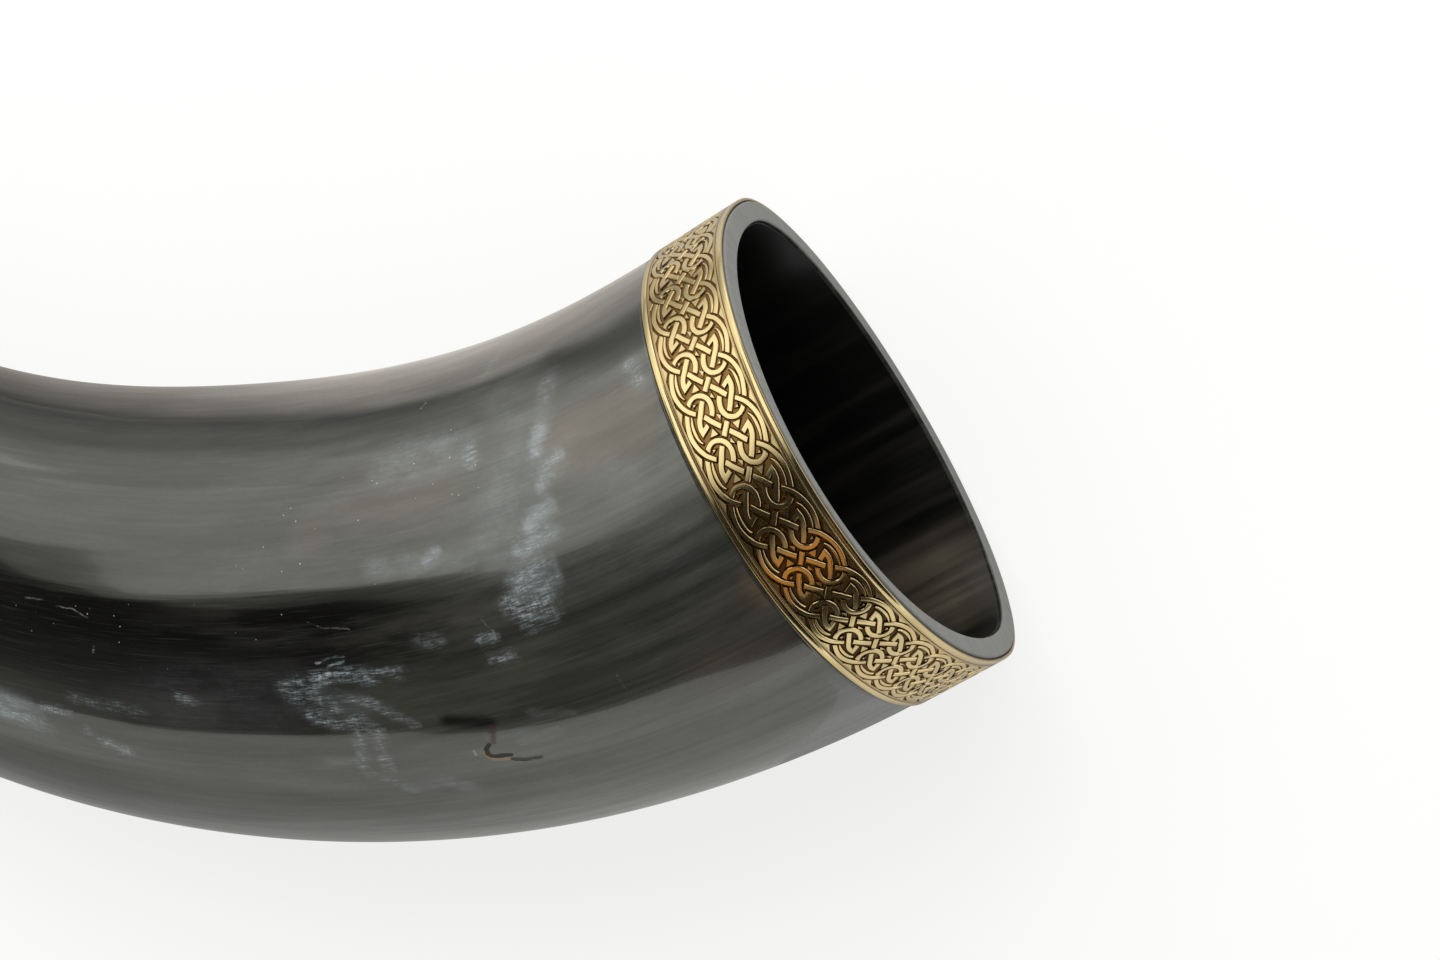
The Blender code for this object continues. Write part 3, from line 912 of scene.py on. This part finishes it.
def knotBodies():  # all raised bodies of one repeat, in millimetres
    arm, tail = smoothLine(knot["arm"]), smoothLine(knot["tail"])
    others = []
    for repeat in range(-3, 4):
        shift = np.array([repeat * knot["drawnPitch"], 0])
        others += [("arm", repeat, arm + shift), ("tail", repeat, tail + shift)]
        others += [("turned", repeat, shift - arm), ("turned", repeat, shift - tail)]
    armHits = crossings(arm, [line for name, repeat, line in others if (name, repeat) != ("arm", 0)])
    tailHits = crossings(tail, [line for name, repeat, line in others if (name, repeat) != ("tail", 0)])
    half, halfArc = knot["halfStrand"], knot["halfArc"]  # a strand goes under at every second crossing
    armLength, tailLength = lengthsOf(arm)[-1], lengthsOf(tail)[-1]
    inWay, outWay = onLine(arm, armLength)[1], onLine(tail, 0)[1]
    mitre = (outWay - inWay) / np.linalg.norm(outWay - inWay)  # the pointed corner of the hook
    lean = [(mitre @ way) / (mitre @ np.array([-way[1], way[0]])) for way in (inWay, outWay)]
    hook = strandRows(arm, cutAt(arm, armHits[0], half, 1), (armLength, lean[0]), half, ends=(True, False))
    hook += strandRows(tail, (0, lean[1]), cutAt(tail, tailHits[0], half, -1), half, ends=(False, True))[1:]
    crook = strandRows(tail, cutAt(tail, tailHits[0], half, 1), cutAt(tail, tailHits[2], halfArc, -1), half)
    arcEnd = cutAt(tail, tailHits[4], half, -1)
    arc = strandRows(tail, cutAt(tail, tailHits[2], halfArc, 1), arcEnd, halfArc)
    underBar = cutAt(tail, (tailLength, onLine(arm, 0)[1]), half, -1)
    slant = strandRows(tail, cutAt(tail, tailHits[4], half, 1), underBar, half)
    ridge = smoothLine(knot["crescent"])
    ridge = strandRows(ridge, (0, 0), (lengthsOf(ridge)[-1], 0), knot["halfRidge"], ridgeTaper)
    barEnd, barLean = cutAt(arm, armHits[0], half, -1)
    bar = strandRows(np.vstack([-arm[::-1], arm[1:]]), (armLength - barEnd, barLean),
                     (armLength + barEnd, barLean), half)
    bodies = [strandBody(bar)]
    halves = [strandBody(rows) for rows in (hook, crook, arc, slant, ridge)]
    halves += [fillerBody(outline) for outline in knot["fillers"]]
    for points, faces in halves:
        bodies.append((points, faces))
        bodies.append(([(-x, -y, z, rubbed) for x, y, z, rubbed in points], faces))
    return bodies


brassLook = {
    "noises": {"clouds": (9, 4), "grit": (0.25, 3), "stains": (3, 4)},  # size of a cell in mm, detail
    "bright": ("#f0d496", "#f9e4b0"),
    "ground": ("#7a572f", "#b08c56"),
    "etched": ("#53381c", "#8e6a3a"),
    # painted shade: the etched ground turns towards this black round one side of the mouth
    "grooveShade": "#1c1209",
    "grooveShadeMost": 0.7,
    "etchedRange": (0.12, 0.5),  # of how far a place is raised and rubbed
    "wornRange": (0.5, 0.95),
    "roughness": (0.34, 0.14),  # etched, then polished
    "gritHeight": 0.03 * mm,
}


def etchedBrass():  # rolled brass, acid-etched and darkened, then polished bright on its raised parts; painted shade blackens the etched ground round one side of the mouth
    material, add = newMaterial("etchedPolishedBrass")
    look = brassLook
    place = add("TexCoord").outputs["Object"]
    raised = add("Attribute", attribute_name="raised").outputs["Fac"]
    noises = {}
    for name, (size, detail) in look["noises"].items():
        space = add("Mapping", {"Vector": place, "Scale": perMm(size, size)})
        noises[name] = add("TexNoise", {"Vector": space, "Scale": 1.0, "Detail": detail})
    bright = add("Mix", [noises["clouds"], *look["bright"]], "RGBA")
    ground = add("Mix", [noises["stains"], *look["ground"]], "RGBA")
    dark = add("Mix", [noises["grit"], *look["etched"]], "RGBA")
    etched = add("MapRange", [raised, *look["etchedRange"]])
    worn = add("MapRange", [raised, *look["wornRange"]])
    colour = add("Mix", [etched, dark, ground], "RGBA")
    # painted shade on the etched ground round one side of the mouth
    groundShade = add("Attribute", attribute_name="grooveShade").outputs["Fac"]
    groundShade = add("Math", [groundShade, look["grooveShadeMost"]], "MULTIPLY")
    colour = add("Mix", [groundShade, colour, look["grooveShade"]], "RGBA")
    colour = add("Mix", [worn, colour, bright], "RGBA")
    rough = add("MapRange", [worn, 0.0, 1.0, *look["roughness"]])
    bump = add("Bump", {"Height": noises["grit"], "Strength": 0.12, "Distance": look["gritHeight"]})
    shader = add("BsdfPrincipled", {
        "Base Color": colour, "Metallic": 1.0, "Roughness": rough, "Normal": bump})
    add("OutputMaterial", {"Surface": shader})
    return material


band = {
    "inside": -0.05 * mm,
    "border": 1.0 * mm,
    "groove": 0.16 * mm,
    "grooveDepth": 0.09 * mm,
    "strip": 0.38 * mm,
    "stripDrop": 0.03 * mm,  # the strip beside the knots lies a little lower than the border
    "stripEdgeDrop": 0.05 * mm,
    "slope": 0.04 * mm,
    "edgeRounding": 0.12 * mm,
    "segments": 720,
    "seamAngle": math.radians(-56.25),
    "seamWidth": 1.2 * mm,
    "seamSpread": 1.1,  # the outline there is flatter than a circle of the mouth's drop
    "grooveShadeAngle": 127.0,  # painted shade: the ground is painted blackest about here
    "grooveShadeReach": 14.0,
}


def bandProfile():  # (along, grow, raised) once round the hoop's section, from the rim side
    top, ground = horn["bandProud"], horn["bandProud"] - knot["relief"] * mm
    start, end = seat["bandStart"], seat["bandEnd"]
    rounding, border, slope = band["edgeRounding"], band["border"], band["slope"]
    inner = border + band["groove"]
    bottom, strip = top - band["grooveDepth"], top - band["stripDrop"]
    near = [(0, band["inside"], 0.5), (0, top - rounding, 0.8), (0.3 * rounding, top - 0.3 * rounding, 1),
            (rounding, top, 1), (border - slope, top, 1), (border, strip, 0.8),
            (border + slope, bottom, 0.1), (inner - slope, bottom, 0.1),
            (inner, top - band["stripEdgeDrop"], 0.5), (inner + slope, strip, 0.75),
            (inner + band["strip"], strip, 0.75), (inner + band["strip"] + 2 * slope, ground, 0.5)]
    profile = [(start + along, grow, raised) for along, grow, raised in near]
    return profile + [(end - along, grow, raised) for along, grow, raised in reversed(near)]


def buildHoop(material):  # the strip itself, bent round with a slot where its ends meet
    half = band["seamWidth"] / 2 / (horn["mouthDrop"] * band["seamSpread"])
    turns = np.linspace(band["seamAngle"] + half, band["seamAngle"] + 2 * math.pi - half, band["segments"])
    profile = bandProfile()
    rings = np.stack([hornRing(along, grow, 1, turns) for along, grow, _ in profile], 1)  # turn, profile
    faces = loftFaces(len(turns), len(profile)) + endFaces(len(turns), len(profile))
    hoop = makePiece("plainHoop", rings.reshape(-1, 3), faces, material, sharpAngle=40)
    setAttribute(hoop.data, "raised", "FLOAT", np.tile([raised for _, _, raised in profile], len(turns)))
    return hoop


def edgeCurve(name, along):  # outline of the band's face at one edge, from the top of the mouth round
    turns = np.linspace(math.pi / 2, math.pi / 2 + 2 * math.pi, band["segments"], endpoint=False)
    ring = hornRing(along, horn["bandProud"], 1, turns)
    curve = bpy.data.curves.new(name, "CURVE")
    curve.dimensions = "3D"
    spline = curve.splines.new("POLY")
    spline.points.add(len(ring) - 1)
    spline.points.foreach_set("co", np.hstack([ring, np.ones((len(ring), 1))]).ravel())
    spline.use_cyclic_u = True
    edge = bpy.data.objects.new(name, curve)
    bpy.context.scene.collection.objects.link(edge)
    return edge, float(lengthsOf(np.vstack([ring, ring[:1]]))[-1])


def wrapTree(material):  # repeats the unit along a line, wraps that round the band and adds the hoop
    tree = bpy.data.node_groups.new("strandsRoundBand", "GeometryNodeTree")
    sockets = {}
    for name, kind in (("Unit", "Geometry"), ("Repeats", "Int"), ("Pitch", "Float"), ("First bar", "Float"),
                       ("Sway", "Float"), ("Sway start", "Float"), ("Band width", "Float"),
                       ("Rim edge", "Object"), ("Lower edge", "Object"), ("Hoop", "Object")):
        socket = tree.interface.new_socket(name, in_out="INPUT", socket_type="NodeSocket" + kind)
        sockets[name] = socket.identifier
    tree.interface.new_socket("Band", in_out="OUTPUT", socket_type="NodeSocketGeometry")
    add = partial(addNode, tree)
    given = add("NodeGroupInput").outputs
    offset = add("CombineXYZ", {"X": given["Pitch"]})
    row = add("GeometryNodeMeshLine", {"Count": given["Repeats"], "Offset": offset})
    units = add("GeometryNodeInstanceOnPoints", {"Points": row, "Instance": given["Unit"]})
    flat = add("GeometryNodeRealizeInstances", {"Geometry": units})
    place = add("SeparateXYZ", [add("GeometryNodeInputPosition")]).outputs
    # length along the row, then the share of the way round
    whole = add("Math", [given["Pitch"], given["Repeats"]], "MULTIPLY")
    length = add("Math", [place["X"], given["First bar"]], "ADD")
    share = add("Math", [length, whole], "DIVIDE")
    turned = add("Math", [share, given["Sway start"]], "SUBTRACT")
    turned = add("Math", [turned, math.tau], "MULTIPLY")
    wave = add("Math", [turned], "SINE")
    swayed = add("Math", [wave, given["Sway"], share], "MULTIPLY_ADD")
    around = add("Math", [swayed], "FRACT")
    edges = []
    for name in ("Rim edge", "Lower edge"):
        curve = add("GeometryNodeObjectInfo", {"Object": given[name]}).outputs["Geometry"]
        sampled = add("GeometryNodeSampleCurve", {"Curves": curve, "Factor": around}, "FACTOR")
        edges.append(sampled.outputs)
    rim, low = edges
    # share of the way down from the rim, then out by the height; y is measured from the band's middle
    drop = add("Math", [place["Y"], given["Band width"]], "DIVIDE")
    down = add("Math", [0.5, drop], "SUBTRACT")
    slope = add("VectorMath", [low["Position"], rim["Position"]], "SUBTRACT")
    onBand = add("VectorMath", [slope, down, rim["Position"]], "MULTIPLY_ADD")
    outward = add("VectorMath", [slope, rim["Tangent"]], "CROSS_PRODUCT")
    outward = add("VectorMath", [outward], "NORMALIZE")
    final = add("VectorMath", [outward, place["Z"], onBand], "MULTIPLY_ADD")
    wrapped = add("GeometryNodeSetPosition", {"Geometry": flat, "Position": final})
    hoop = add("GeometryNodeObjectInfo", {"Object": given["Hoop"]})
    joined = add("GeometryNodeJoinGeometry", {"Geometry": wrapped})
    tree.links.new(hoop.outputs["Geometry"], joined.inputs[0])
    solid = add("GeometryNodeRealizeInstances", {"Geometry": joined})
    brass = add("GeometryNodeSetMaterial", {"Geometry": solid, "Material": material})
    add("NodeGroupOutput", {"Band": brass})
    return tree, sockets


def grooveShadeAt(mesh):  # painted shade: how black the etched ground is painted at each point, from its angle round the mouth
    corners = np.array([corner.co for corner in mesh.vertices])
    half, rise, drop = hornSizes(0)
    upward = corners[:, 2] - drop - horn["bandProud"]
    upward = upward / np.where(upward > 0, rise, drop)
    turns = np.degrees(np.arctan2(upward, (corners[:, 1] - mouthY) / half))
    away = np.abs(turns - band["grooveShadeAngle"]) / band["grooveShadeReach"]
    return smooth(1.3 - away)  # full at first, then it fades


def buildBand():
    material = etchedBrass()
    rimEdge, rimRound = edgeCurve("rimEdge", seat["bandStart"])
    lowerEdge, lowerRound = edgeCurve("lowerEdge", seat["bandEnd"])
    pitch = (rimRound + lowerRound) / 2 / knot["repeats"]
    stretch = pitch / knot["drawnPitch"]
    points, faces, raised = [], [], []
    for bodyPoints, bodyFaces in knotBodies():
        first = len(points)
        points += [(x * stretch, y * mm, z * mm) for x, y, z, _ in bodyPoints]
        faces += [tuple(first + i for i in face) for face in bodyFaces]
        raised += [rubbed for _, _, _, rubbed in bodyPoints]
    piece = makePiece("etchedBrassBand", points, faces, material, sharpAngle=25)
    setAttribute(piece.data, "raised", "FLOAT", raised)
    print("one repeat of the knot", len(faces), "faces, pitch", round(pitch / mm, 2), "mm")
    hoop = buildHoop(material)
    tree, sockets = wrapTree(material)
    wrap = piece.modifiers.new("strandsRoundBand", "NODES")
    wrap.node_group = tree
    settings = {"Repeats": knot["repeats"], "Pitch": pitch, "First bar": knot["firstBar"],
                "Sway": knot["sway"], "Sway start": knot["swayStart"],
                "Band width": seat["bandEnd"] - seat["bandStart"],
                "Rim edge": rimEdge, "Lower edge": lowerEdge, "Hoop": hoop}
    for name, value in settings.items():
        wrap[sockets[name]] = value
    bpy.context.view_layer.update()
    seen = bpy.context.evaluated_depsgraph_get()
    mesh = bpy.data.meshes.new_from_object(piece.evaluated_get(seen), preserve_all_data_layers=True,
                                           depsgraph=seen)
    piece.modifiers.remove(wrap)
    piece.data = mesh
    outwards(mesh)
    setAttribute(mesh, "grooveShade", "FLOAT", grooveShadeAt(mesh))
    for helper in (hoop, rimEdge, lowerEdge):
        bpy.data.objects.remove(helper)
    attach(piece, "root")
    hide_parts("rim_band")
    print("band", len(mesh.polygons), "faces")


buildBand()


# solder, bedding and the coat inside

solder = {
    "fileMarks": (0.2, 1.6),  # mm along and across
    "colours": ("#b9ad8e", "#d8cfb4"),
    "roughness": (0.25, 0.45),
    "proud": 0.03 * mm,
    "edgeDrop": 0.08 * mm,
    "flat": 0.6,  # share of its width that is flat on top
    "rings": 24,
    "wander": 0.04 * mm,
    "wanderPace": 2.3,  # radians a millimetre
}


def silverSolder():  # filed solder: pale yellow-grey metal with short file marks
    material, add = newMaterial("filedSilverSolder")
    place = add("TexCoord").outputs["Object"]
    space = add("Mapping", {"Vector": place, "Scale": perMm(*solder["fileMarks"])})
    marks = add("TexNoise", {"Vector": space, "Scale": 1.0, "Detail": 3.0})
    colour = add("Mix", [marks, *solder["colours"]], "RGBA")
    rough = add("MapRange", [marks, 0.0, 1.0, *solder["roughness"]])
    bump = add("Bump", {"Height": marks, "Strength": 0.3, "Distance": 0.04 * mm})
    shader = add("BsdfPrincipled", {
        "Base Color": colour, "Metallic": 1.0, "Roughness": rough, "Normal": bump})
    add("OutputMaterial", {"Surface": shader})
    return material


def buildSolder():
    halfWidth = band["seamWidth"] / 2
    reach = 1 / (horn["mouthDrop"] * band["seamSpread"])
    top = horn["bandProud"] + solder["proud"]
    edge, flat = top - solder["edgeDrop"], solder["flat"]
    profile = [(-1.0, band["inside"]), (-1.0, edge), (-flat, top),
               (flat, top), (1.0, edge), (1.0, band["inside"])]
    points = []
    for along in np.linspace(seat["bandStart"], seat["bandEnd"], solder["rings"]):
        wander = solder["wander"] * math.sin(along / mm * solder["wanderPace"])
        for side, grow in profile:
            turn = band["seamAngle"] + (halfWidth * side + wander) * reach
            points.append(hornRing(along, grow, 1, np.array([turn]))[0])
    faces = loftFaces(solder["rings"], len(profile)) + endFaces(solder["rings"], len(profile))
    piece = makePiece("filedSeamSolder", points, faces, silverSolder(), sharpAngle=40)
    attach(piece, "root")
    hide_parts("band_seam_solder")
    print("solder", len(faces), "faces")


bedding = {
    "pits": (0.8, 0.8),  # mm along and across
    "colours": ("#0d0a08", "#2a221b"),
    "clear": 0.01 * mm,  # from the horn and from the band
    "rimSetback": 0.04 * mm,
    "rimBulge": 0.06 * mm,
    "lowerSetback": 0.05 * mm,
    "lowerBulge": 0.05 * mm,
}


def darkCement():  # rosin cement squeezed out flush: near black, dull, slightly pitted
    material, add = newMaterial("darkRosinCement")
    place = add("TexCoord").outputs["Object"]
    space = add("Mapping", {"Vector": place, "Scale": perMm(*bedding["pits"])})
    pits = add("TexNoise", {"Vector": space, "Scale": 1.0, "Detail": 4.0})
    colour = add("Mix", [pits, *bedding["colours"]], "RGBA")
    bump = add("Bump", {"Height": pits, "Strength": 0.5, "Distance": 0.05 * mm})
    shader = add("BsdfPrincipled", {"Base Color": colour, "Roughness": 0.7, "IOR": 1.53, "Normal": bump})
    add("OutputMaterial", {"Surface": shader})
    return material


def buildBedding():
    inside, outside = -seat["depth"] + bedding["clear"], band["inside"] - bedding["clear"]
    middle = (inside + outside) / 2
    start, end = seat["bandStart"] + bedding["rimSetback"], seat["bandEnd"] - bedding["lowerSetback"]
    nearFlat, farFlat = start + bedding["rimBulge"], end - bedding["lowerBulge"]
    profile = [(nearFlat, inside), (start, middle), (nearFlat, outside),
               (farFlat, outside), (end, middle), (farFlat, inside)]
    rings = [hornRing(along, grow) for along, grow in profile]
    faces = loftFaces(len(profile), horn["sides"], True)
    piece = makePiece("darkBandBedding", np.vstack(rings), faces, darkCement(), sharpAngle=50)
    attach(piece, "root")
    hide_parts("band_bedding")
    print("bedding", len(faces), "faces")


lining = {
    "setback": 0.9 * mm,
    "outside": 0.05 * mm,  # clear of the horn's wall
    "inside": 0.6 * mm,
    "edge": 0.15 * mm,  # it thins out towards the rim
    "lip": 0.1 * mm,  # its rounded edge
    "thinRun": 8.0 * mm,
    "endGap": 0.6 * mm,  # from its far end to the end of the hollow
    "endHalf": 0.3 * mm,
    "rings": 46,
    "streakSize": (70, 5),  # mm along and across
    "streakRange": (0.42, 0.72),
    "near": ("#0a0a09", "#24221f"),  # dark and light streaks towards the mouth, painted lighter there where light falls in
    # painted shade: the lining darkens to this deeper in the hollow
    "deep": "#060505",
    "shadeRun": 45 * mm,
    "litWallSide": (0, -0.5, -0.87),  # across the hollow, to the lit side where painted light lets the streaks show
    "litWallReach": (5 * mm, 36 * mm),
    "litStreak": "#5d564a",  # painted light: one pale streak low on the near side, where light from the mouth falls
    "litStreakSide": (0, -0.799, -0.602),
    "litStreakReach": (40.5 * mm, 45 * mm),
    "litStreakStart": 0.4,  # its strength at the rim
    "litStreakRise": 8 * mm,
    "litStreakEnd": 45 * mm,
    "litStreakPatches": (0.36, 0.62, 0.45, 1.0),
    "roughness": (0.24, 0.34),
}


def lacqueredHollow():  # food-safe lacquer over scraped horn: black-brown, glossy, streaks showing through; painted light on the lit side near the mouth, painted shade deeper in
    material, add = newMaterial("lacqueredHornHollow")
    grain = add("Attribute", attribute_name="grain").outputs["Vector"]
    along = add("SeparateXYZ", [grain]).outputs["X"]
    space = add("Mapping", {"Vector": grain, "Scale": perMm(*lining["streakSize"])})
    streaks = add("TexNoise", {"Vector": space, "Scale": 1.0, "Detail": 4.0, "Roughness": 0.6})
    show = add("MapRange", [streaks, *lining["streakRange"]], "SMOOTHSTEP")
    # painted light: the streaks show only on the lit side of the hollow
    side = add("VectorMath", [grain, lining["litWallSide"]], "DOT_PRODUCT")
    side = add("MapRange", [side, *lining["litWallReach"]])
    show = add("Math", [show, side], "MULTIPLY")
    near = add("Mix", [show, *lining["near"]], "RGBA")
    # painted shade: darker deeper in the hollow
    deep = add("MapRange", [along, 0.0, lining["shadeRun"]])
    colour = add("Mix", [deep, near, lining["deep"]], "RGBA")
    # painted light: a pale streak where the lower wall near the mouth is lit
    streak = add("VectorMath", [grain, lining["litStreakSide"]], "DOT_PRODUCT")
    streak = add("MapRange", [streak, *lining["litStreakReach"]], "SMOOTHSTEP")
    fade = add("MapRange", [along, lining["litStreakRise"], lining["litStreakEnd"], 1.0, 0.0])
    rise = add("MapRange", [along, 0.0, lining["litStreakRise"], lining["litStreakStart"]])
    patchy = add("MapRange", [streaks, *lining["litStreakPatches"]])
    for part in (fade, rise, patchy):
        streak = add("Math", [streak, part], "MULTIPLY")
    colour = add("Mix", [streak, colour, lining["litStreak"]], "RGBA")
    bump = add("Bump", {"Height": streaks, "Strength": 0.06, "Distance": 0.1 * mm})
    rough = add("MapRange", [streaks, 0.0, 1.0, *lining["roughness"]])
    shader = add("BsdfPrincipled", {
        "Base Color": colour, "Roughness": rough, "IOR": 1.5, "Specular IOR Level": 0.35, "Normal": bump})
    add("OutputMaterial", {"Surface": shader})
    return material


def buildLining():
    sides = horn["sides"]
    setback, depth = lining["setback"], horn["hollowDepth"] - lining["endGap"]
    reaches = np.linspace(0, 1, lining["rings"] + 1)[:-1]
    stations = [setback + (depth - setback) * (1 - (1 - reach) ** 2) for reach in reaches]
    rows = [(along, lining["outside"]) for along in reversed(stations)]  # along, clear of the wall
    rows.append((setback - lining["lip"], (lining["outside"] + lining["edge"]) / 2))
    for along in stations:
        full = float(smooth((along - setback) / lining["thinRun"]))
        rows.append((along, lining["edge"] + (lining["inside"] - lining["edge"]) * full))
    points, grain = [], []
    for along, shrink in rows:
        share = hollowShare(along * horn["hollowDepth"] / (depth + shrink))
        points.append(hornRing(along, -wallAt(along) - shrink, share))
        grain.append(grainPlace(along, angles))
    points += [hornRing(depth + shrink, 0, 0)[:1] for shrink in (lining["endHalf"], -lining["endHalf"])]
    faces = loftFaces(len(rows), sides) + fanFaces(len(rows), sides)
    piece = makePiece("lacqueredHollowLining", np.vstack(points), faces, lacqueredHollow())
    setAttribute(piece.data, "grain", "FLOAT_VECTOR", np.vstack(grain + [[[depth, 0, 0]] * 2]))
    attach(piece, "root")
    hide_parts("inner_lining")
    print("lining", len(faces), "faces")


buildSolder()
buildBedding()
buildLining()
